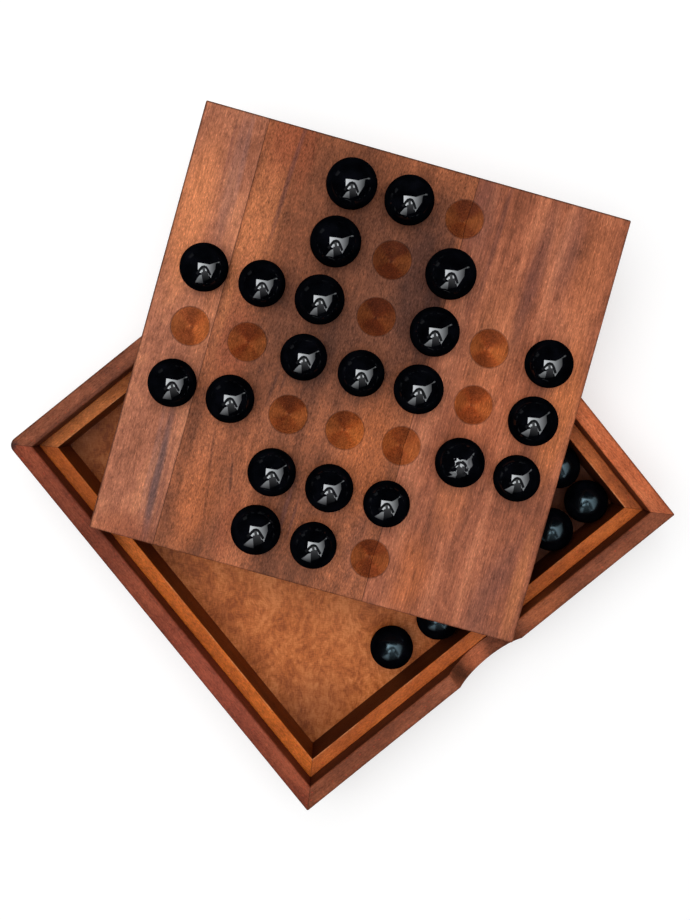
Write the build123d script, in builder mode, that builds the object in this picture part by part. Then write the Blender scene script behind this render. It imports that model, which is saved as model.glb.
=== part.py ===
import os
from math import cos, radians, sin, sqrt, tan

from build123d import *

# A peg solitaire set: a wooden box, a loose board that lies askew on its rim, and loose glass marbles.
# Lengths are in millimetres and angles in degrees. The origin is the centre of the box's base, the front
# rail with the finger notch is at -Y, and +Z is up.

# The board, glued up from three planks.
board_side = 150
board_thickness = 8.5
board_ease = 0.5
left_plank_width = 22.4
right_plank_width = 53.8

# The conical seats that the marbles stand in.
seat_pitch = 20
seat_mouth = 13.4
seat_angle = 100
seat_gap = 0.15

# The marbles are handmade glass, so they differ a little.
marble_sizes = {"S": 15.8, "M": 16.3, "L": 16.8, "X": 17.2}

# The position in play, seen with the board's top edge up. A letter is a marble of that size and a dot is an
# empty seat. Each line is centred on the board.
play = (
    "XL.",
    "X.X",
    "MSL.L.M",
    "..SSL.L",
    "MM...LS",
    "MMS",
    "LS.",
)

# Where the board was put down: its centre from the box's centre, and its turn about the upright.
board_x = 27.6
board_y = 25.1
board_turn = -54.4

# The box. The board drops into its recess and then lies on the ledge, flush with the rim.
board_gap = 1.8
rail_width = 6.2
rail_ease = 0.8
corner_ease = 0.5
worn_corner = 3
covered_corner = 5
ledge_width = 4.8
ledge_ease = 0.4

# The floor panel lies in a rebate along the foot of the rails, flush with their undersides.
panel_thickness = 3
rebate_width = 3
rebate_play = 0.2

# Room over the largest marble when the board lies on the ledge.
head_room = 0.5

# The finger notch in the front rail, a round scoop that stops just above the ledge.
notch_width = 28.5
notch_shoulder = 1.5
notch_lip = 0.5

# The marbles in the box are all of the small size. Each place counts marble spacings from the box's front
# right corner: first to the left, then to the back. The last five lie unseen under the board.
tray_marble = marble_sizes["S"]
floor_gap = 0.15
wall_gap = 0.3
marble_gap = 0.6
tray_spots = (
    (0, 0),
    (1, 0),
    (5.45, 0.19),
    (0, 1),
    (4.23, 0.05),
    (1, 1.05),
    (2.1, 0.05),
    (3.15, 0.7),
    (5.3, 4.75),
    (5.8, 6.6),
)

# What follows from them.
recess_side = board_side + 2 * board_gap
box_side = recess_side + 2 * rail_width
tray_side = recess_side - 2 * ledge_width
recess_depth = board_thickness
tray_depth = max(marble_sizes.values()) + head_room
ledge_top = panel_thickness + tray_depth
rim = ledge_top + recess_depth
half_angle = radians(seat_angle / 2)
seat_depth = seat_mouth / 2 / tan(half_angle)
notch_depth = recess_depth - notch_lip
notch_radius = (notch_width**2 / 4 + notch_depth**2) / (2 * notch_depth)

board_across = Vector(1, 0, 0).rotate(Axis.Z, board_turn)
board_under = Plane(origin=(board_x, board_y, rim), x_dir=board_across, z_dir=(0, 0, 1))
board_top = board_under.offset(board_thickness)

# Each side of the box, with the turn that brings it to the front.
sides = {"front": 0, "right": 90, "back": 180, "left": 270}

os.makedirs("parts", exist_ok=True)


def finish(piece, name):
    """Names a finished piece and writes it."""
    piece.label = name
    export_step(piece, f"parts/{name}.step")


def seats():
    """Each seat's place on the board's top, across and up, with its letter from the position in play."""
    for line, letters in enumerate(play):
        up = ((len(play) - 1) / 2 - line) * seat_pitch
        for place, letter in enumerate(letters):
            yield (place - (len(letters) - 1) / 2) * seat_pitch, up, letter


def marble_height(diameter):
    """How far a marble's centre stands over the board's top: it touches the cone or, if large, its mouth."""
    reach = diameter / 2 + seat_gap
    if reach * cos(half_angle) <= seat_mouth / 2:
        return reach / sin(half_angle) - seat_depth
    return sqrt(reach**2 - (seat_mouth / 2) ** 2)


def mitred(ring, side):
    """One side of a square ring, cut off at both ends by the mitres."""
    turn = sides[side]
    right_mitre = Plane(origin=(0, 0, 0), z_dir=Vector(1, 1, 0).rotate(Axis.Z, turn))
    left_mitre = Plane(origin=(0, 0, 0), z_dir=Vector(-1, 1, 0).rotate(Axis.Z, turn))
    with BuildPart() as piece:
        add(ring)
        split(bisect_by=right_mitre, keep=Keep.BOTTOM)
        split(bisect_by=left_mitre, keep=Keep.BOTTOM)
    return piece.part


# The rails are worked as one ring and then cut at the mitres. The back left corner is worn round, and so is
# the back right corner, which stays out of sight under the board's edge.
to_back_left = Axis((0, 0, 0), (-1, 1, 0))
to_back_right = Axis((0, 0, 0), (1, 1, 0))
with BuildPart() as rail_ring:
    with BuildSketch() as plan:
        Rectangle(box_side, box_side)
        fillet(plan.vertices().group_by(Axis.Y)[0], corner_ease)
        fillet(plan.vertices().sort_by(to_back_left)[-1], worn_corner)
        fillet(plan.vertices().sort_by(to_back_right)[-1], covered_corner)
        Rectangle(recess_side, recess_side, mode=Mode.SUBTRACT)
    extrude(amount=rim)
    fillet(rail_ring.edges().group_by(Axis.Z)[-1], rail_ease)
    with BuildSketch():
        Rectangle(recess_side + 2 * rebate_width, recess_side + 2 * rebate_width)
    extrude(amount=panel_thickness, mode=Mode.SUBTRACT)
    with BuildSketch(Plane.XZ.offset(recess_side / 2 - rail_width)) as notch:
        with Locations((0, rim - notch_depth + notch_radius)):
            Circle(notch_radius)
        with Locations((0, rim)):
            Rectangle(2 * notch_width, 2 * notch_radius, align=(Align.CENTER, Align.MIN))
        shoulders = notch.vertices().group_by(Axis.Y)[0].sort_by(Axis.X)[1:-1]
        fillet(shoulders, notch_shoulder)
    extrude(amount=3 * rail_width, mode=Mode.SUBTRACT)

for side in sides:
    finish(mitred(rail_ring.part, side), f"{side}_rail")

# The ledge strips stand on the floor panel, against the rails.
with BuildPart() as ledge_ring:
    with BuildSketch(Plane.XY.offset(panel_thickness)):
        Rectangle(recess_side, recess_side)
        Rectangle(tray_side, tray_side, mode=Mode.SUBTRACT)
    extrude(amount=tray_depth)
    fillet(ledge_ring.edges().group_by(Axis.Z)[-1], ledge_ease)

for side in sides:
    finish(mitred(ledge_ring.part, side), f"{side}_ledge")

# The floor panel.
panel_side = recess_side + 2 * (rebate_width - rebate_play)
with BuildPart() as floor_panel:
    with BuildSketch():
        Rectangle(panel_side, panel_side)
    extrude(amount=panel_thickness)

finish(floor_panel.part, "floor_panel")

# The board is worked whole, with its seats, and then parted at the glue lines.
with BuildPart(board_under) as board:
    with BuildSketch(board_under):
        Rectangle(board_side, board_side)
    extrude(amount=board_thickness)
    fillet(board.edges(), board_ease)
    with Locations([(across, up, board_thickness) for across, up, letter in seats()]):
        Cone(
            bottom_radius=0,
            top_radius=seat_mouth / 2,
            height=seat_depth,
            align=(Align.CENTER, Align.CENTER, Align.MAX),
            mode=Mode.SUBTRACT,
        )

left_seam = board_side / 2 - left_plank_width
right_seam = board_side / 2 - right_plank_width
left_glue_line = Plane(origin=board_under.from_local_coords((-left_seam, 0, 0)), z_dir=board_across)
right_glue_line = Plane(origin=board_under.from_local_coords((right_seam, 0, 0)), z_dir=board_across)

with BuildPart() as plank_left:
    add(board.part)
    split(bisect_by=left_glue_line, keep=Keep.BOTTOM)

with BuildPart() as plank_middle:
    add(board.part)
    split(bisect_by=left_glue_line, keep=Keep.TOP)
    split(bisect_by=right_glue_line, keep=Keep.BOTTOM)

with BuildPart() as plank_right:
    add(board.part)
    split(bisect_by=right_glue_line, keep=Keep.TOP)

finish(plank_left.part, "plank_left")
finish(plank_middle.part, "plank_middle")
finish(plank_right.part, "plank_right")

# The marbles on the board, numbered from the top row, left to right.
taken = [seat for seat in seats() if seat[2] in marble_sizes]
for number, (across, up, letter) in enumerate(taken, start=1):
    diameter = marble_sizes[letter]
    with BuildPart(board_top.offset(marble_height(diameter))) as marble:
        with Locations((across, up)):
            Sphere(diameter / 2)
    finish(marble.part, f"marble_{number:02d}")

# The marbles in the box.
corner_inset = tray_side / 2 - tray_marble / 2 - wall_gap
spacing = tray_marble + marble_gap
tray_level = Plane.XY.offset(panel_thickness + floor_gap + tray_marble / 2)
for number, (leftwards, backwards) in enumerate(tray_spots, start=1):
    with BuildPart(tray_level) as marble:
        with Locations((corner_inset - leftwards * spacing, backwards * spacing - corner_inset)):
            Sphere(tray_marble / 2)
    finish(marble.part, f"tray_marble_{number:02d}")
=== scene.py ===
from math import pi, radians

import bpy
import numpy as np
from mathutils import Matrix, Vector


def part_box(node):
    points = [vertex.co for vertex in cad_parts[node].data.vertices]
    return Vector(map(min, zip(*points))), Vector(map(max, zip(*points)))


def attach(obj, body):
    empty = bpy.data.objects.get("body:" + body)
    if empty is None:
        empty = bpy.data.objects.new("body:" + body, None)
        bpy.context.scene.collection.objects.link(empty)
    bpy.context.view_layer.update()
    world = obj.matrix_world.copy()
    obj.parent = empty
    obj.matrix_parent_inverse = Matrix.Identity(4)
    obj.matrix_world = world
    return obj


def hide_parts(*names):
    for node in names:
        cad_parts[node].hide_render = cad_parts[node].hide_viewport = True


# Looks for a peg solitaire set: a wooden box, a loose board and black glass marbles.
# The frame is in metres. Patterns in the finishes are worked out in millimetres.
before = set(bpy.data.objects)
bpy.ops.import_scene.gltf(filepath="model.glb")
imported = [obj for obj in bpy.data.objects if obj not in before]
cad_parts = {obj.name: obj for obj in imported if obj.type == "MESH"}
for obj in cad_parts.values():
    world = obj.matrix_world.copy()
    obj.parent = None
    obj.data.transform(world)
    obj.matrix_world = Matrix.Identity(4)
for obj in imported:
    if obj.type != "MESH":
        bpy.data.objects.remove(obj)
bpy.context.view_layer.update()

mm = 0.001

# The board was put down askew. Its planks are glued at two lines, and its seats stand on a square net.
board_turn = radians(-54.4)
board_half = 75
glue_lines = (-52.6, 21.2)
seat_pitch = 20
seat_mouth = 13.4

# Seats that are darker than the rest: a place across and along the board, and a depth.
dark_seats = {(0, 40): 0.5, (0, 20): 0.6, (20, 60): 0.35, (-40, 0): 0.15, (20, -20): 0.25, (20, -60): 0.1}

# The box, and the turn of its floor panel's veneer.
box_half = 83
recess_half = 76.8
tray_half = 72
panel_thickness = 3
veneer_turn = radians(-39)

# Painted shadows on the floor panel in three corners, where the board and the tray's walls shade it:
# a middle, the outer and inner distance of the fade, and a depth.
painted_floor_shadows = (
    ((62, -62), 58, 26, 0.9),
    ((-70, 70), 30, 8, 0.45),
    ((-66, -66), 26, 4, 0.35),
)

# The view, from above, a little to the right of the box's middle.
camera_place = Vector((0.0140, 0.0280, 0.3910))
camera_target = Vector((0.0143, 0.0184, 0.0377))
camera_up = Vector((0.6272, 0.7786, 0))
camera_lens = 40.63
camera_shift = (0.0027, -0.0506)

# A soft lamp over the board, and how much the surroundings light things. To the eye they are white.
lamp_sides = (1.4, 1.2)
lamp_distance = 1.2
lamp_power = 13
air_light = 0.35

# The table keeps the object's shadow near the middle. Further out it fades to plain white.
table_radius = 12
shadow_near = 0.17
shadow_far = 0.6

# What the marbles mirror: how far the panels stand from the board, and the reach of the dark round the set.
panel_distance = 0.45
cloth_inside = 0.13
dark_reach = 3
studio_spokes = 64

plank_boxes = [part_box(f"plank_{side}") for side in ("left", "middle", "right")]
board_low = Vector(map(min, *[low for low, high in plank_boxes]))
board_high = Vector(map(max, *[high for low, high in plank_boxes]))
board_middle = (board_low + board_high) / 2
board_top = Vector((board_middle.x, board_middle.y, board_high.z))


def tint(red, green, blue):
    """A colour as a screen shows it, 0 to 255, in the linear numbers that a shader takes."""
    shares = [value / 255 for value in (red, green, blue)]
    return (*[s / 12.92 if s <= 0.04045 else ((s + 0.055) / 1.055) ** 2.4 for s in shares], 1)


# Colours: first those of light and dust, then those of the wood, its marks, and painted light and shade.
white = (1, 1, 1, 1)
window_light = (0.93, 0.965, 1, 1)
cool_gleam = (0.6, 0.88, 1, 1)
dust_grey = tint(60, 58, 56)
grey_violet = tint(124, 90, 84)
violet_brown = tint(90, 55, 52)
olive_brown = tint(76, 47, 36)
dark_line = tint(60, 38, 34)
red_brown = tint(140, 70, 44)
orange = tint(196, 106, 54)
pale_orange = tint(214, 130, 82)
# The next colour darkens marks and lines, and also paints shade along the board's edges.
dark_mark_and_shade = tint(38, 16, 10)
# The next colour is painted shade on the box's inner walls.
painted_wall_shade = tint(42, 9, 3)
end_grain_brown = tint(70, 34, 20)
# The next colour pales a ledge's inner edge: partly wear, partly a painted highlight.
edge_highlight_and_wear = tint(222, 160, 112)
fleck_red = tint(184, 62, 40)
seat_red = tint(124, 50, 22)
seat_side = tint(214, 132, 72)
seat_streak = tint(206, 124, 62)
seat_dark = tint(84, 32, 17)
# The next colour is the painted shadow on the floor panel.
floor_shadow_colour = tint(50, 18, 8)


class Nodes:
    """A tree of shader nodes. Each method adds nodes and gives back the socket they end in."""

    def __init__(self, owner):
        owner.use_nodes = True
        self.nodes = owner.node_tree.nodes
        self.links = owner.node_tree.links
        self.nodes.clear()

    def add(self, kind, inputs, output=0, **settings):
        node = self.nodes.new(kind)
        for setting, value in settings.items():
            setattr(node, setting, value)
        for name, value in inputs.items():
            if isinstance(value, bpy.types.NodeSocket):
                self.links.new(value, node.inputs[name])
            else:
                node.inputs[name].default_value = value
        return node.outputs[output]

    def end(self, shader, kind):
        """The tree ends in a shader."""
        self.links.new(shader, self.nodes.new(kind).inputs["Surface"])

    def math(self, operation, *values):
        return self.add("ShaderNodeMath", dict(enumerate(values)), operation=operation)

    def vector(self, operation, *values):
        output = 1 if operation in ("LENGTH", "DISTANCE", "DOT_PRODUCT") else 0
        return self.add("ShaderNodeVectorMath", dict(enumerate(values)), output, operation=operation)

    def size(self, value):
        """A number without its sign."""
        return self.math("ABSOLUTE", value)

    def parts(self, point):
        """The three coordinates of a point."""
        return self.add("ShaderNodeSeparateXYZ", {0: point}).node.outputs[:]

    def point(self, *coordinates):
        return self.add("ShaderNodeCombineXYZ", dict(enumerate(coordinates)))

    def object_point(self, scale=1000, turn=0, place=(0, 0, 0)):
        """Object coordinates from a place, in millimetres where no scale is given.

        They are turned back so that the second axis lies along the grain.
        """
        spin = Matrix.Rotation(-turn, 3, "Z")
        offset = -(spin @ Vector(place)) * scale
        numbers = {"Location": offset, "Rotation": (0, 0, -turn), "Scale": [scale] * 3}
        raw = self.add("ShaderNodeTexCoord", {}, "Object")
        return self.add("ShaderNodeMapping", {"Vector": raw, **numbers})

    def noise(self, point, size, detail=2, roughness=0.5):
        """Smooth noise about zero, whose lumps measure size millimetres along each axis."""
        stretched = self.vector("DIVIDE", point, size)
        settings = {"Vector": stretched, "Scale": 1, "Detail": detail, "Roughness": roughness}
        return self.math("SUBTRACT", self.add("ShaderNodeTexNoise", settings), 0.5)

    def layers(self, distance, thickness, detail=2):
        """Noise about zero in layers of a thickness, such as growth rings."""
        counted = self.math("DIVIDE", distance, thickness)
        settings = {"W": counted, "Scale": 1, "Detail": detail, "Roughness": 0.55}
        return self.math("SUBTRACT", self.add("ShaderNodeTexNoise", settings, noise_dimensions="1D"), 0.5)

    def drift(self, point, size, reach):
        """How far smooth noise moves a point: its lumps measure size along each axis, and it spans reach."""
        settings = {"Vector": self.vector("DIVIDE", point, size), "Scale": 1}
        loose = self.add("ShaderNodeTexNoise", settings, 1)
        return self.vector("MULTIPLY", self.vector("SUBTRACT", loose, (0.5, 0.5, 0.5)), reach)

    def step(self, value, low, high):
        """0 below low, 1 above high and smooth between. With low above high it falls instead."""
        if low > high:
            return self.math("SUBTRACT", 1, self.step(value, high, low))
        numbers = {"Value": value, "From Min": low, "From Max": high}
        return self.add("ShaderNodeMapRange", numbers, interpolation_type="SMOOTHSTEP")

    def weigh(self, start, *pairs):
        """A number plus each value times its weight."""
        total = start
        for value, weight in pairs:
            total = self.math("MULTIPLY_ADD", value, weight, total)
        return total

    def times(self, *values):
        total = values[0]
        for value in values[1:]:
            total = self.math("MULTIPLY", total, value)
        return total

    def mix(self, share, first, second, way="MIX"):
        """Two colours mixed."""
        inputs = {0: share, 6: first, 7: second}
        return self.add("ShaderNodeMix", inputs, 2, data_type="RGBA", blend_type=way, clamp_factor=True)

    def ramp(self, value, *stops):
        """Colours by value, each stop a value and its colour."""
        made = self.add("ShaderNodeValToRGB", {0: value})
        elements = made.node.color_ramp.elements
        while len(elements) < len(stops):
            elements.new(0.5)
        for element, (position, colour) in zip(elements, stops):
            element.position = position
            element.color = colour
        return made

    def bump(self, height):
        """Relief of a height in millimetres."""
        return self.add("ShaderNodeBump", {"Strength": 1, "Distance": mm, "Height": height})

    def seen(self):
        """1 for what the eye sees straight, mirrored or through glass, and 0 for light on other things."""
        rays = self.add("ShaderNodeLightPath", {}).node.outputs
        straight = self.math("MAXIMUM", rays["Is Camera Ray"], rays["Is Glossy Ray"])
        return self.math("MAXIMUM", straight, rays["Is Transmission Ray"])


class Finish(Nodes):
    """A material."""

    def __init__(self, name):
        self.material = bpy.data.materials.new(name)
        super().__init__(self.material)

    def made(self, shader):
        """The material, once its shader is there."""
        self.end(shader, "ShaderNodeOutputMaterial")
        return self.material

    def surface(self, **inputs):
        """The material with a plain surface."""
        named = {key.replace("_", " "): value for key, value in inputs.items()}
        return self.made(self.add("ShaderNodeBsdfPrincipled", named))


class Wood(Finish):
    """Red-brown timber as a solid figure, so that each face and seat cuts it as a tool would.

    Growth rings lie round a heart that runs along the grain, and wander. Slow changes of tone, fibres, pores,
    glints and a fine fleck lie on them. Across, along and deep are the piece's own directions, in
    millimetres. The figure is shifted from piece to piece. Bands, fibres, flecks and glints are strengths.
    """

    def __init__(
        self, name, turn, place, heart, tones, shift, bands=1.0, fibres=1.0, flecks=1.0, glints=0.5
    ):
        super().__init__(name)
        self.here = self.object_point(turn=turn, place=place)
        self.across, self.along, self.deep = self.parts(self.here)
        moved = self.vector("ADD", self.here, (shift, 3 * shift, 2 * shift))
        self.wandered = self.vector("ADD", self.here, self.drift(moved, (48, 110, 48), (7, 0, 7)))

        taper = 0.07
        from_heart = self.vector("MULTIPLY", self.vector("SUBTRACT", self.wandered, heart), (1, taper, 1))
        rings = self.math("ADD", self.vector("LENGTH", from_heart), shift)
        broad = self.layers(rings, 8, 3)
        narrow = self.layers(rings, 1.6, 3)
        cloud = self.noise(moved, (13, 30, 13), 2)
        mottle = self.noise(moved, (2.6, 4.2, 2.6), 3, 0.6)
        fibre = self.noise(moved, (0.55, 8, 0.55), 3, 0.6)
        fleck = self.noise(moved, (0.42, 1.0, 0.42), 2, 0.6)
        tone = self.weigh(0.5, (broad, 0.5 * bands), (narrow, 0.2 * bands), (cloud, 0.6), (mottle, 0.28))
        self.colour = self.ramp(tone, *zip((0.34, 0.5, 0.66), tones))

        # Pores are open vessels, thin and a millimetre or two long, that hold dark finish. Between them the
        # wood glints. Pores, glints, fibres and flecks scale the colour under them.
        pore = self.step(self.noise(moved, (0.24, 1.7, 0.24), 1), 0.1, 0.22)
        glint = self.step(self.noise(moved, (0.32, 1.4, 0.32), 1), -0.08, -0.24)
        self.shade = self.weigh(
            0.95,
            (mottle, 0.35),
            (fibre, 0.85 * fibres),
            (fleck, 1.2 * flecks),
            (pore, -0.2),
            (glint, glints),
        )

        self.normal = self.add("ShaderNodeTexCoord", {}, "Normal")
        grain = Vector((0, 1, 0)) @ Matrix.Rotation(-turn, 3, "Z")
        self.end_grain = self.step(self.size(self.vector("DOT_PRODUCT", self.normal, grain)), 0.3, 0.95)
        self.relief = self.weigh(0.0, (pore, -0.03), (fibre, 0.02), (fleck, 0.012))
        self.roughness = self.weigh(0.5, (pore, 0.2), (mottle, 0.12), (self.end_grain, 0.15))

    def blend(self, share, strength, colour):
        """Blends a colour in by a strength where share is 1."""
        self.colour = self.mix(self.times(share, strength), self.colour, colour)

    def darken(self, share, strength):
        self.blend(share, strength, dark_mark_and_shade)

    def colour_patch(self, middle, half, colour, strength, lean=0.0):
        """A patch of another colour, drawn out along the grain: its strength falls off from a middle.

        It leans by a share of its length, and goes right through the wood where no depth is given.
        """
        # Most patches are stains; a few on the box are painted light and shade.
        through = 1000
        shear = self.math("MULTIPLY", self.math("SUBTRACT", self.along, middle[1]), -lean)
        leaned = self.vector("ADD", self.wandered, self.point(shear, 0, 0))
        centred = self.vector("SUBTRACT", leaned, (*middle, 0)[:3])
        away = self.vector("LENGTH", self.vector("DIVIDE", centred, (*half, through)[:3]))
        self.blend(self.step(away, 1, 0.25), strength, colour)

    def finished(self):
        """Satin oil finish, darker and rougher on end grain."""
        self.blend(self.end_grain, 0.3, end_grain_brown)
        return self.surface(
            Base_Color=self.vector("MULTIPLY", self.colour, self.shade),
            Roughness=self.roughness,
            Specular_IOR_Level=0.06,
            Normal=self.bump(self.relief),
        )


def seat_marks(wood):
    """Turned seats: darker, more orange wood inside, with streaks that run to the point, and a crisp dark
    rim.

    The nearest seat's middle is found by folding both coordinates into one pitch of the seats' net.
    """
    half = seat_pitch / 2
    near_across = wood.math("WRAP", wood.across, half, -half)
    near_along = wood.math("WRAP", wood.along, half, -half)
    near = wood.point(near_across, near_along, 0)
    radius = wood.vector("LENGTH", near)
    own = wood.vector("SUBTRACT", wood.point(wood.across, wood.along, 0), near)

    # The cross is three seats wide and seven long.
    size_across = wood.size(wood.across)
    size_along = wood.size(wood.along)
    narrow_way = wood.math("LESS_THAN", wood.math("MINIMUM", size_across, size_along), 1.5 * seat_pitch)
    long_way = wood.math("LESS_THAN", wood.math("MAXIMUM", size_across, size_along), 3.5 * seat_pitch)
    cross = wood.math("MULTIPLY", narrow_way, long_way)
    mouth = seat_mouth / 2
    below_top = wood.step(wood.deep, -0.05, -0.3)
    inside = wood.times(cross, wood.step(radius, mouth + 0.05, mouth - 0.15), below_top)
    seat_inside_tint = (0.98, 0.7, 0.4, 1)
    wood.colour = wood.mix(inside, wood.colour, seat_inside_tint, "MULTIPLY")
    kind = wood.step(wood.noise(own, (7, 9, 7), 0), 0.0, 0.25)
    wood.blend(wood.times(inside, kind), 0.4, seat_red)

    # The sides cut along the grain are lighter, and the tool leaves fine arcs and a few soft streaks.
    ray = wood.vector("MULTIPLY", wood.vector("NORMALIZE", near), (mouth, mouth, 0))
    ray = wood.vector("ADD", wood.vector("ADD", ray, own), wood.point(0, 0, radius))
    streak = wood.noise(ray, (8, 8, 9), 1)
    arc = wood.layers(wood.math("ADD", radius, wood.times(streak, 5)), 0.45, 2)
    lit = wood.weigh(streak, (arc, 0.4))
    side = wood.math("DIVIDE", wood.size(near_across), radius)
    wood.blend(wood.times(inside, wood.step(side, 0.65, 1.0)), 0.22, seat_side)
    wood.blend(wood.times(inside, wood.step(lit, 0.0, 0.22)), 0.2, seat_streak)
    wood.darken(wood.times(inside, wood.step(lit, 0.0, -0.22)), 0.28)
    wood.darken(wood.times(inside, wood.step(side, 0.7, 0.3)), 0.2)
    for place, strength in dark_seats.items():
        this_one = wood.step(wood.vector("DISTANCE", own, (*place, 0)), 2, 1)
        wood.blend(wood.times(inside, this_one), strength, seat_dark)

    from_rim = wood.size(wood.math("SUBTRACT", radius, mouth))
    wood.darken(wood.times(cross, wood.step(from_rim, 0.3, 0.05)), 0.4)
    wood.darken(wood.times(inside, wood.step(radius, 0.9, 0.1)), 0.45)
    wood.roughness = wood.math("MULTIPLY_ADD", inside, -0.06, wood.roughness)


def board_wood(name, heart, tones, shift, patches, **looks):
    """A plank of the board, with its glue lines, its seats and painted shade along its edges."""
    wood = Wood(name, board_turn, board_top, heart, tones, shift, **looks)
    for colour_patch in patches:
        wood.colour_patch(*colour_patch)
    seat_marks(wood)
    for line in glue_lines:
        gap = wood.size(wood.math("SUBTRACT", wood.across, line))
        wood.darken(wood.step(gap, 0.26, 0.06), 0.62)
    # Painted shade along the board's edges: some on all four, more on the left and top ones.
    all_edges = wood.math("MAXIMUM", wood.size(wood.across), wood.size(wood.along))
    wood.darken(wood.step(all_edges, board_half - 0.8, board_half - 0.1), 0.3)
    left_and_top = wood.math("MAXIMUM", wood.math("MULTIPLY", wood.across, -1), wood.along)
    wood.darken(wood.step(left_and_top, board_half - 0.8, board_half - 0.25), 0.6)
    return wood.finished()


def box_wood(name, turn, heart, tones, shift, patches, wall_shade, edge=0, **looks):
    """A mitred strip of the box, with a dark hairline at the mitre and a few red flecks.

    The inner upright faces carry painted shade, the top is darker along the outer edge, and a ledge's inner
    edge is paler in places, partly wear and partly a painted highlight.
    """
    wood = Wood(name, turn, (0, 0, 0), heart, tones, shift, glints=0.2, **looks)
    size_across = wood.size(wood.across)
    red = wood.step(wood.noise(wood.here, (0.6, 1.0, 0.6), 0), 0.24, 0.32)
    wood.blend(red, 0.45, fleck_red)
    from_mitre = wood.size(wood.math("SUBTRACT", size_across, wood.size(wood.along)))
    wood.darken(wood.step(from_mitre, 0.22, 0.05), 0.7)

    facing_up = wood.size(wood.parts(wood.normal)[2])
    # Paler along a ledge's inner top edge in places: partly wear, partly a painted highlight.
    inner_edge = wood.step(size_across, tray_half + 0.55, tray_half + 0.2)
    in_places = wood.step(wood.noise(wood.here, (9, 12, 9), 1), -0.05, 0.12)
    wood.blend(wood.times(inner_edge, wood.step(facing_up, 0.3, 0.7), in_places), 0.35, edge_highlight_and_wear)
    # Painted shade on the inner upright faces: the recess walls and the tray walls.
    inner = wood.step(size_across, recess_half + 1.2, recess_half + 0.6)
    wood.blend(wood.times(wood.step(facing_up, 0.7, 0.2), inner), wall_shade, painted_wall_shade)
    outer_edge = wood.step(size_across, box_half - 1.0, box_half - 0.2)
    wood.darken(wood.times(outer_edge, wood.step(facing_up, 0.2, 0.5)), edge)
    for colour_patch in patches:
        wood.colour_patch(*colour_patch)
    return wood.finished()


def plywood(name):
    """The floor panel: pale mottled veneer with short loose fibres that lie askew to the box."""
    finish = Finish(name)
    here = finish.object_point(turn=veneer_turn)
    bent = finish.vector("ADD", here, finish.drift(here, (14, 14, 14), (8, 8, 0)))
    cloud = finish.noise(bent, (11, 15, 11), 3)
    blotch = finish.noise(bent, (3.2, 4.2, 3), 2)
    fleck = finish.noise(bent, (1.4, 2.4, 2), 3, 0.55)
    hair = finish.noise(bent, (0.35, 2.0, 1), 2)
    across_hair = finish.noise(bent, (2.0, 0.35, 1), 2)
    tone = finish.weigh(0.5, (cloud, 0.7), (blotch, 0.3), (fleck, 0.7), (hair, 0.4), (across_hair, 0.4))
    veneer = ((0.3, tint(146, 70, 22)), (0.5, tint(190, 103, 46)), (0.7, tint(216, 130, 72)))
    colour = finish.ramp(tone, *veneer)
    # Painted shadows darken the floor panel in three corners.
    for place, far, near, depth in painted_floor_shadows:
        away = finish.vector("DISTANCE", finish.object_point(), (*place, panel_thickness))
        colour = finish.mix(finish.times(finish.step(away, far, near), depth), colour, floor_shadow_colour)
    return finish.surface(
        Base_Color=colour,
        Roughness=finish.weigh(0.6, (fleck, 0.2)),
        Specular_IOR_Level=0.12,
        Normal=finish.bump(finish.weigh(0.0, (fleck, 0.05), (hair, 0.03))),
    )


def black_glass(name, roughness, reach, level=1.0, ripple=0.0, gleam=white):
    """Black glass: a very dark blue-black body under a clear polished skin, with faint dust and smears.

    The gloss fades towards the ball's outline, where glass would mirror the lit wood beside it, and is gone
    where the slant to the eye comes to reach. Ripple is a height in millimetres.
    """
    finish = Finish(name)
    here = finish.object_point()
    cloud = finish.noise(here, (5, 5, 5), 2)
    body = ((0.3, tint(2, 2, 4)), (0.5, tint(4, 5, 8)), (0.7, tint(8, 9, 14)))
    colour = finish.ramp(finish.math("ADD", cloud, 0.5), *body)
    dust = finish.step(finish.noise(here, (0.5, 0.5, 0.5), 1), 0.26, 0.32)
    smear = finish.noise(here, (2.5, 2.5, 2.5), 3)
    ruck = finish.noise(here, (2.4, 2.4, 2.4), 1)
    slant = finish.add("ShaderNodeLayerWeight", {"Blend": 0.5}, "Facing")
    return finish.surface(
        Base_Color=finish.mix(finish.times(dust, 0.15), colour, dust_grey),
        Roughness=finish.weigh(roughness, (smear, 0.04), (dust, 0.2)),
        IOR=1.5,
        Specular_IOR_Level=finish.times(finish.step(slant, reach, 0.45 * reach), level),
        Specular_Tint=gleam,
        Normal=finish.bump(finish.weigh(0.0, (cloud, 0.02), (ruck, ripple))),
    )


def table_finish():
    """Pale table: it renders white and keeps the object's soft shadow, which fades out with distance.

    The lamp and the surroundings bring its shade to a known share, and a glow makes up the rest to white.
    """
    middle_shade = 0.6
    lit_share = 0.88
    just_over_white = 1.01

    finish = Finish("pale table")
    far = finish.step(finish.vector("LENGTH", finish.object_point(scale=1)), shadow_near, shadow_far)
    shade = finish.math("MULTIPLY_ADD", far, -middle_shade, middle_shade)
    shadowed = finish.add("ShaderNodeBsdfDiffuse", {"Color": finish.point(shade, shade, shade)})
    rest = finish.math("MULTIPLY_ADD", shade, -lit_share, just_over_white)
    glow = finish.add("ShaderNodeEmission", {"Color": white, "Strength": rest})
    both = finish.add("ShaderNodeAddShader", {0: shadowed, 1: glow})
    pale = finish.add("ShaderNodeBsdfDiffuse", {"Color": (0.8, 0.8, 0.8, 1)})
    return finish.made(finish.add("ShaderNodeMixShader", {0: finish.seen(), 1: pale, 2: both}))


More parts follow.
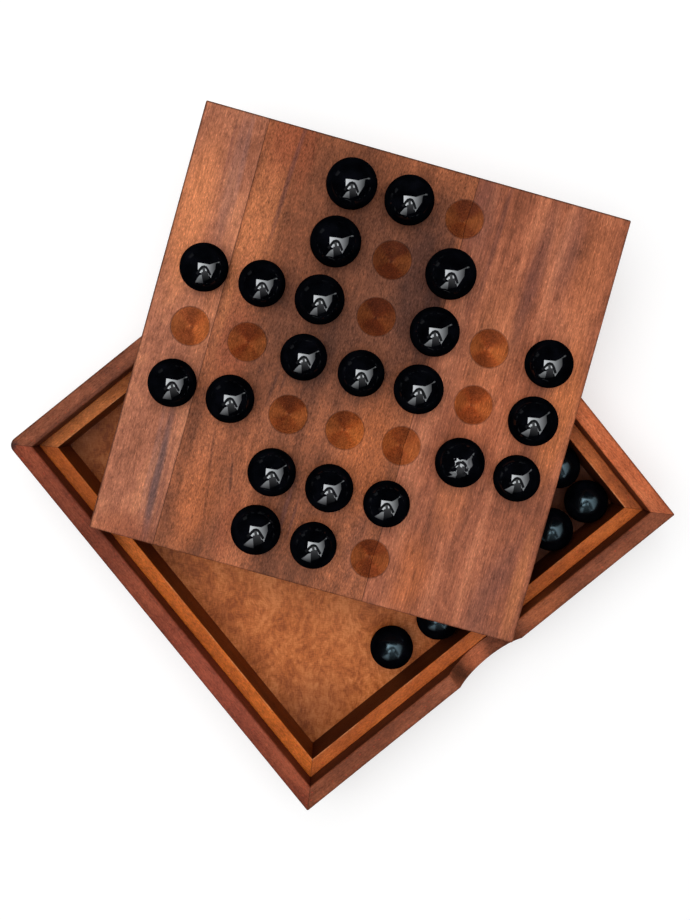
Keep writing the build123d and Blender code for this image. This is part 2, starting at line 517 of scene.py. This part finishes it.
def glow_finish(name, brightness, fade=(0, 0, 0)):
    """Light of a studio panel, brighter towards one side."""
    finish = Finish(name)
    strength = finish.vector("DOT_PRODUCT", finish.object_point(scale=1), fade)
    strength = finish.math("MAXIMUM", finish.math("ADD", strength, brightness), 0)
    return finish.made(finish.add("ShaderNodeEmission", {"Color": window_light, "Strength": strength}))


def mesh_of(name, points, faces):
    """A mesh from points and the faces between them."""
    mesh = bpy.data.meshes.new(name)
    mesh.from_pydata(points.reshape(-1, 3).tolist(), [], faces)
    mesh.update()
    return mesh


def sheet_mesh(name, points):
    """An open sheet from a grid of points, rows by columns, whose faces are the cells of the grid."""
    rows, columns = points.shape[:2]
    number = np.arange(rows * columns).reshape(rows, columns)
    cells = np.stack([number[:-1, :-1], number[1:, :-1], number[1:, 1:], number[:-1, 1:]], axis=-1)
    return mesh_of(name, points, cells.reshape(-1, 4).tolist())


def turned_mesh(name, reach, height, spokes, size=1, middle=(0, 0, 0)):
    """A surface of revolution: each ring is a circle of its reach at its height.

    All are scaled and moved to a middle. An end without reach is a pole, closed by a fan of triangles.
    """
    wide = reach > 1e-9
    angle = np.linspace(0, 2 * pi, spokes, endpoint=False)
    out, up = reach[wide, None], height[wide, None]
    points = np.stack([out * np.cos(angle), out * np.sin(angle), up + 0 * angle], axis=-1).reshape(-1, 3)
    number = np.arange(len(points)).reshape(len(out), spokes)
    ahead = np.roll(number, -1, axis=1)
    faces = np.stack([number[:-1], number[1:], ahead[1:], ahead[:-1]], axis=-1).reshape(-1, 4).tolist()
    for end, fan in ((0, (number[0], ahead[0])), (-1, (ahead[-1], number[-1]))):
        if not wide[end]:
            faces += np.stack([np.full(spokes, len(points)), *fan], axis=-1).tolist()
            points = np.concatenate([points, [[0, 0, height[end]]]])
    return mesh_of(name, points * size + np.array(middle), faces)


def ball_mesh(name, middle, radius):
    """A ball: at a polar angle from the top, its reach is the sine and its height the cosine."""
    polar = np.linspace(0, pi, 49)
    mesh = turned_mesh(name, np.sin(polar), np.cos(polar), 96, radius, middle)
    mesh.polygons.foreach_set("use_smooth", np.ones(len(mesh.polygons), bool))
    mesh.update()
    return mesh


def put(mesh, material):
    """An object with a mesh and a material, at the origin."""
    made = bpy.data.objects.new(mesh.name, mesh)
    bpy.context.scene.collection.objects.link(made)
    made.data.materials.append(material)
    return made


def dress(node, material):
    """Gives a carried-over node its finish."""
    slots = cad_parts[node].data.materials
    slots.clear()
    slots.append(material)


# The board's planks. A stain has a middle and half sizes, both across and along, then a colour, a strength
# and, where it leans, a lean.
left_stains = (
    ((-69, 36), (9, 40), pale_orange, 0.7),
    ((-59, 52), (3.4, 34), grey_violet, 0.4, -0.03),
    ((-57, 62), (1.4, 30), grey_violet, 0.4, -0.03),
    ((-62.5, 62), (0.9, 20), violet_brown, 0.45, -0.02),
    ((-56, 4), (5, 24), pale_orange, 0.3),
    ((-61.2, -46), (1.4, 30), grey_violet, 0.4, -0.07),
    ((-58.1, -52), (2.5, 34), tint(84, 66, 68), 0.8, -0.07),
    ((-55.4, -52), (1.0, 30), violet_brown, 0.4, -0.07),
    ((-65, -75), (16, 13), red_brown, 0.6),
)
middle_stains = (
    ((-45, 38), (9, 26), pale_orange, 0.45),
    ((-44, 70), (10, 16), red_brown, 0.6),
    ((-30, 56), (8, 20), olive_brown, 0.3),
    ((-30, 10), (7, 18), olive_brown, 0.3),
    ((-30, -62), (6, 18), red_brown, 0.4),
    ((-44, -2), (9, 18), red_brown, 0.45),
    ((-24, 66), (16, 18), olive_brown, 0.35),
    ((-22, -30), (9, 20), olive_brown, 0.35),
    ((-50.3, 28), (2.4, 46), pale_orange, 0.45),
    ((-40.5, 58), (1.3, 36), violet_brown, 0.6, 0.04),
    ((-36.5, 66), (4, 18), red_brown, 0.4),
    ((-6, 36), (44, 54), olive_brown, 0.62),
    ((-20, 2), (34, 28), olive_brown, 0.5),
    ((12, 34), (13, 42), dark_line, 0.6),
    ((19, 30), (1.6, 34), dark_line, 0.5),
    ((17, 22), (5, 36), dark_line, 0.5),
    ((-44, -4), (7, 22), red_brown, 0.35),
    ((9, -26), (12, 28), orange, 0.45),
    ((-28.5, -12), (0.8, 10), dark_line, 0.5, 0.1),
    ((-25.5, -9), (0.7, 8), dark_line, 0.45, 0.1),
    ((-40.5, -52), (0.9, 28), dark_line, 0.6, -0.15),
    ((-34, -45), (0.7, 11), dark_line, 0.5, -0.2),
    ((-43, -58), (10, 24), orange, 0.3),
    ((-12.5, -52), (1.3, 14), violet_brown, 0.6),
    ((-9, -54), (0.8, 11), violet_brown, 0.5),
    ((15, -58), (5, 20), violet_brown, 0.25),
    ((-6, -72), (18, 9), olive_brown, 0.45),
)
right_stains = (
    ((26, 64), (7, 26), violet_brown, 0.55),
    ((33, 58), (1.4, 34), violet_brown, 0.4),
    ((41, 18), (11, 36), pale_orange, 0.25),
    ((56, 60), (6, 24), grey_violet, 0.2),
    ((47.5, 50), (4.5, 38), violet_brown, 0.5, 0.02),
    ((30, 40), (4, 30), violet_brown, 0.25, 0.02),
    ((67, 46), (9, 40), tint(196, 114, 72), 0.4),
    ((70, 4), (9, 34), tint(216, 124, 72), 0.75),
    ((41, -32), (8, 20), tint(206, 120, 76), 0.45),
    ((48, -2), (22, 26), tint(188, 100, 60), 0.4),
    ((33, -62), (12, 20), orange, 0.45),
    ((30, -28), (6, 14), red_brown, 0.25),
    ((62.5, -60), (7.5, 26), violet_brown, 0.45, 0.28),
    ((64, -75), (9, 9), violet_brown, 0.3),
    ((72.5, -56), (3.5, 28), pale_orange, 0.45),
    ((27, -62), (6, 16), violet_brown, 0.3),
)

plank_tones = {
    "left": (tint(138, 82, 58), tint(168, 103, 76), tint(198, 126, 90)),
    "middle": (tint(116, 66, 43), tint(150, 86, 55), tint(178, 104, 68)),
    "right": (tint(130, 73, 50), tint(161, 93, 65), tint(187, 113, 80)),
}

# Each plank's heart of the rings, shift of the figure, stains and strengths.
planks = {
    "left": ((-60, 0, -120), 31, left_stains, {"bands": 0.7, "fibres": 1.3}),
    "middle": ((-120, 30, -70), 7, middle_stains, {"bands": 0.7, "flecks": 1.5}),
    "right": ((150, -60, -60), 83, right_stains, {"fibres": 1.7, "flecks": 0.7}),
}
for side, (heart, shift, patches, looks) in planks.items():
    wood = board_wood(f"oiled board, {side} plank", heart, plank_tones[side], shift, patches, **looks)
    dress(f"plank_{side}", wood)

# The box's rails and ledges. Along the front and back the grain runs across the box, and there a patch's
# middle counts first to the front. On a rail it also has a height.
rail_tones = {
    "front": (tint(96, 50, 32), tint(124, 66, 42), tint(150, 84, 56)),
    "left": (tint(94, 40, 24), tint(124, 57, 36), tint(150, 74, 48)),
    "back": (tint(100, 54, 37), tint(131, 73, 49), tint(158, 93, 65)),
    "right": (tint(158, 78, 42), tint(192, 99, 58), tint(208, 116, 72)),
}
ledge_tones = {
    "front": (tint(148, 72, 28), tint(178, 89, 37), tint(198, 106, 48)),
    "left": (tint(172, 82, 26), tint(204, 103, 34), tint(220, 116, 44)),
    "back": (tint(142, 74, 33), tint(181, 101, 48), tint(204, 120, 64)),
    "right": (tint(136, 66, 30), tint(174, 90, 44), tint(200, 112, 60)),
}
rail_patches = {
    "front": (
        ((80, 26, 29), (6, 16, 16), orange, 0.3),
        # The next two are painted light and shade in the notch's scoop: lighter on its bottom, darker at one
        # end.
        ((80, -2.5, 25), (7, 7, 14), tint(192, 104, 66), 0.75),
        ((79.5, -11, 26), (5, 3.5, 14), tint(58, 34, 20), 0.6),
    ),
    "left": (
        ((-80, -28, 29), (8, 36, 16), tint(164, 78, 58), 0.4),
        ((-80, 45, 29), (8, 44, 16), tint(104, 50, 33), 0.45),
        ((-82, 81.5, 29), (2.4, 2.6, 16), dark_line, 0.85),
    ),
    "back": (((-82, -81.5, 29), (2.4, 2.6, 16), dark_line, 0.85),),
    "right": (((80, -82, 29), (9, 14, 16), red_brown, 0.5), ((80, -12, 29), (6, 30, 16), orange, 0.3)),
}
# A painted shadow of the board's corner on the left ledge.
ledge_painted_shadow = {"left": (((-74.4, 60), (8, 34), tint(122, 54, 22), 0.45),)}
rail_edge = {"front": 0.1, "left": 0.1, "back": 0.35, "right": 0.5}
rail_wall_shade = {"front": 0.72, "left": 0.3, "back": 0.35, "right": 0.75}
ledge_wall_shade = {"front": 0.9, "left": 0.7, "back": 0.6, "right": 0.85}

rail_heart = (40, 20, -90)
ledge_heart = (-90, 10, -70)
for number, side in enumerate(("front", "left", "back", "right")):
    turn = radians(-90) if side in ("front", "back") else 0
    rail = box_wood(
        f"{side} rail wood",
        turn,
        rail_heart,
        rail_tones[side],
        11 + 17 * number,
        rail_patches[side],
        rail_wall_shade[side],
        rail_edge[side],
    )
    dress(f"{side}_rail", rail)
    ledge = box_wood(
        f"{side} ledge wood",
        turn,
        ledge_heart,
        ledge_tones[side],
        5 + 23 * number,
        ledge_painted_shadow.get(side, ()),
        ledge_wall_shade[side],
        bands=0.6,
        fibres=0.6,
    )
    dress(f"{side}_ledge", ledge)

dress("floor_panel", plywood("plywood floor"))

# The marbles, in a smoother mesh than the frame's. Those in the box are dusty and stand in shade, and one on
# the board is scuffed.
board_glass = black_glass("black glass", 0.03, 0.4)
tray_glass = black_glass("dusty black glass", 0.19, 0.27, level=0.65, gleam=cool_gleam)
scuffed_glass = black_glass("scuffed black glass", 0.05, 0.4, ripple=0.28)
scuffed_marble = "marble_16"
for name in sorted(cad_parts):
    if "marble" in name:
        low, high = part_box(name)
        radius = (high.z - low.z) / 2
        glass = tray_glass if "tray" in name else scuffed_glass if name == scuffed_marble else board_glass
        ball = put(ball_mesh(f"{name}_glass", (low + high) / 2, radius), glass)
        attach(ball, f"{name}_ball")
        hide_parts(name)


# The studio.
def mirrored(places, distance):
    """Points of the studio, from where the camera sees them mirrored in a marble at the board's middle.

    A place is across and up from the marble's middle, in its radii. The glass there leans by the arc sine of
    its distance from the middle, and the line of sight turns back on the other side of the glass's upright.
    """
    places = np.asarray(places, float)
    sight = np.array((camera_place - board_top).normalized())
    across = np.cross(np.array(camera_up), sight)
    across /= np.linalg.norm(across)
    ahead = np.cross(sight, across)
    level = np.sqrt(np.maximum(1 - (places**2).sum(axis=-1, keepdims=True), 0.001))
    upright = places[..., :1] * across + places[..., 1:] * ahead + level * sight
    back = 2 * (upright @ sight)[..., None] * upright - sight
    return np.array(board_top) + distance * back


def only_mirrored(name, mesh, brightness=0.0, fade=(0, 0, 0)):
    """Stage that glows and shows in polished surfaces alone."""
    thing = put(mesh, glow_finish(name, brightness, fade))
    thing.visible_camera = False
    thing.visible_diffuse = False
    thing.visible_shadow = False
    thing.visible_transmission = False


def panel(name, corners, nearer, brightness, fade=(0, 0, 0)):
    """A panel between four corners, bilinear in its two parameters, as it shows on a marble."""
    shares = np.linspace(0, 1, 16)
    down, over = [part[..., None] for part in np.meshgrid(shares, shares, indexing="ij")]
    top_left, top_right, bottom_right, bottom_left = [np.array(corner) for corner in corners]
    upper = top_left * (1 - over) + top_right * over
    lower = bottom_left * (1 - over) + bottom_right * over
    points = mirrored(upper * (1 - down) + lower * down, panel_distance - nearer * mm)
    only_mirrored(f"{name} light", sheet_mesh(name, points), brightness, fade)


def ribbon(name, path, width, nearer, brightness):
    """A band of one width carried along a path, as it shows on a marble."""
    path = np.array(path, float)
    ahead = np.gradient(path, axis=0)
    ahead /= np.linalg.norm(ahead, axis=1, keepdims=True)
    aside = np.stack([-ahead[:, 1], ahead[:, 0]], axis=1) * width / 2
    points = mirrored(np.stack([path - aside, path + aside], axis=1), panel_distance - nearer * mm)
    only_mirrored(f"{name} light", sheet_mesh(name, points), brightness)


def dark_surroundings():
    """The dark studio above the set, and a dark cloth on the table round it, which show only in reflections.

    The studio is a half ball with a pinhole at its top, and the cloth a flat ring.
    """
    rise = np.linspace(0, radians(89.9), 24)
    hood = turned_mesh("studio_hood", np.cos(rise), np.sin(rise), studio_spokes, dark_reach)
    only_mirrored("dark studio", hood)
    reach = np.linspace(cloth_inside, dark_reach, 12)
    cloth = turned_mesh("dark_cloth", reach, 0 * reach + 0.5 * mm, studio_spokes)
    only_mirrored("dark cloth", cloth)


dark_surroundings()

# A panel has four corners, how much nearer it stands than the farthest, in millimetres, a brightness and a
# fade. A ribbon has a path and a width instead of the corners.
picture_up = np.array(camera_up)
picture_right = np.cross(picture_up, (0, 0, 1))
window_fade = -12 * picture_right
low_fade = 16 * picture_up
panel("window", ((-0.215, 0.165), (0.25, 0.105), (0.26, -0.4), (-0.235, -0.19)), 0, 5.2, window_fade)
panel("side_window", ((0.24, 0.105), (0.49, 0.21), (0.49, -0.06), (0.24, -0.1)), 1, 5.2, window_fade)
panel("side_window_foot", ((0.24, -0.1), (0.49, -0.06), (0.27, -0.48), (0.21, -0.32)), 1, 5.2, window_fade)
panel("low_window", ((-0.2, -0.33), (-0.09, -0.3), (-0.11, -0.66), (-0.44, -0.55)), 4, 6.7, low_fade)
panel("far_panel", ((-0.58, 0.38), (-0.44, 0.52), (-0.38, 0.42), (-0.5, 0.32)), 0, 0.12)
arch = ((-0.3, -0.25), (-0.22, -0.18), (-0.14, -0.08), (-0.06, 0.0), (0.02, 0.02))
arch += ((0.1, -0.01), (0.16, -0.1), (0.21, -0.21), (0.27, -0.36))
ribbon("camera_stand", arch, 0.1, 8, 0.1)
panel("stand_core", ((-0.1, 0.0), (0.12, 0.0), (0.22, -0.5), (-0.1, -0.62)), 6, 0.8, 2 * picture_up)
panel("stand_lamp_a", ((-0.1, -0.115), (-0.045, -0.1), (-0.04, -0.2), (-0.1, -0.2)), 10, 6.0)
panel("stand_lamp_b", ((0.05, -0.06), (0.1, -0.08), (0.125, -0.17), (0.065, -0.17)), 10, 6.0)
ribbon("strip_light", ((0.42, 0.17), (0.5, 0.21), (0.58, 0.25)), 0.03, 0, 0.8)
ribbon("strip_head", ((0.57, 0.245), (0.61, 0.265), (0.65, 0.28)), 0.05, 1, 1.6)


def key_light():
    """A wide soft lamp above the set, a little towards the picture's upper left."""
    lamp = bpy.data.lights.new("soft lamp", "AREA")
    lamp.shape = "RECTANGLE"
    lamp.size, lamp.size_y = lamp_sides
    lamp.energy = lamp_power
    lamp.color = white[:3]
    made = bpy.data.objects.new("soft_lamp", lamp)
    overhead = Vector((0, 0, 1))
    direction = (overhead + 0.15 * camera_up + 0.2 * overhead.cross(camera_up)).normalized()
    made.location = board_top + lamp_distance * direction
    made.rotation_mode = "QUATERNION"
    made.rotation_quaternion = direction.to_track_quat("Z", "Y")
    made.visible_camera = False
    made.visible_glossy = False
    bpy.context.scene.collection.objects.link(made)


def studio_air():
    """Pale surroundings, white to the eye and dimmer as a light."""
    world = bpy.data.worlds.new("studio")
    bpy.context.scene.world = world
    air = Nodes(world)
    strength = air.math("MULTIPLY_ADD", air.seen(), 1 - air_light, air_light)
    air.end(air.add("ShaderNodeBackground", {"Color": white, "Strength": strength}), "ShaderNodeOutputWorld")


def table():
    """The table top, a flat disc of rings that widen outwards."""
    reach = table_radius * np.linspace(0, 1, 12) ** 2
    made = put(turned_mesh("table_top", reach, 0 * reach, studio_spokes), table_finish())


def camera():
    """The camera stands almost straight above the set, with the picture's up along the box's diagonal."""
    eye = bpy.data.cameras.new("camera")
    eye.lens = camera_lens
    eye.sensor_width = 36
    eye.shift_x, eye.shift_y = camera_shift
    made = bpy.data.objects.new("camera", eye)
    back = (camera_place - camera_target).normalized()
    right = camera_up.cross(back).normalized()
    up = back.cross(right)
    made.matrix_world = Matrix.Translation(camera_place) @ Matrix((right, up, back)).transposed().to_4x4()
    bpy.context.scene.collection.objects.link(made)
    bpy.context.scene.camera = made


table()
key_light()
studio_air()
camera()
bpy.context.scene.view_settings.view_transform = "Standard"
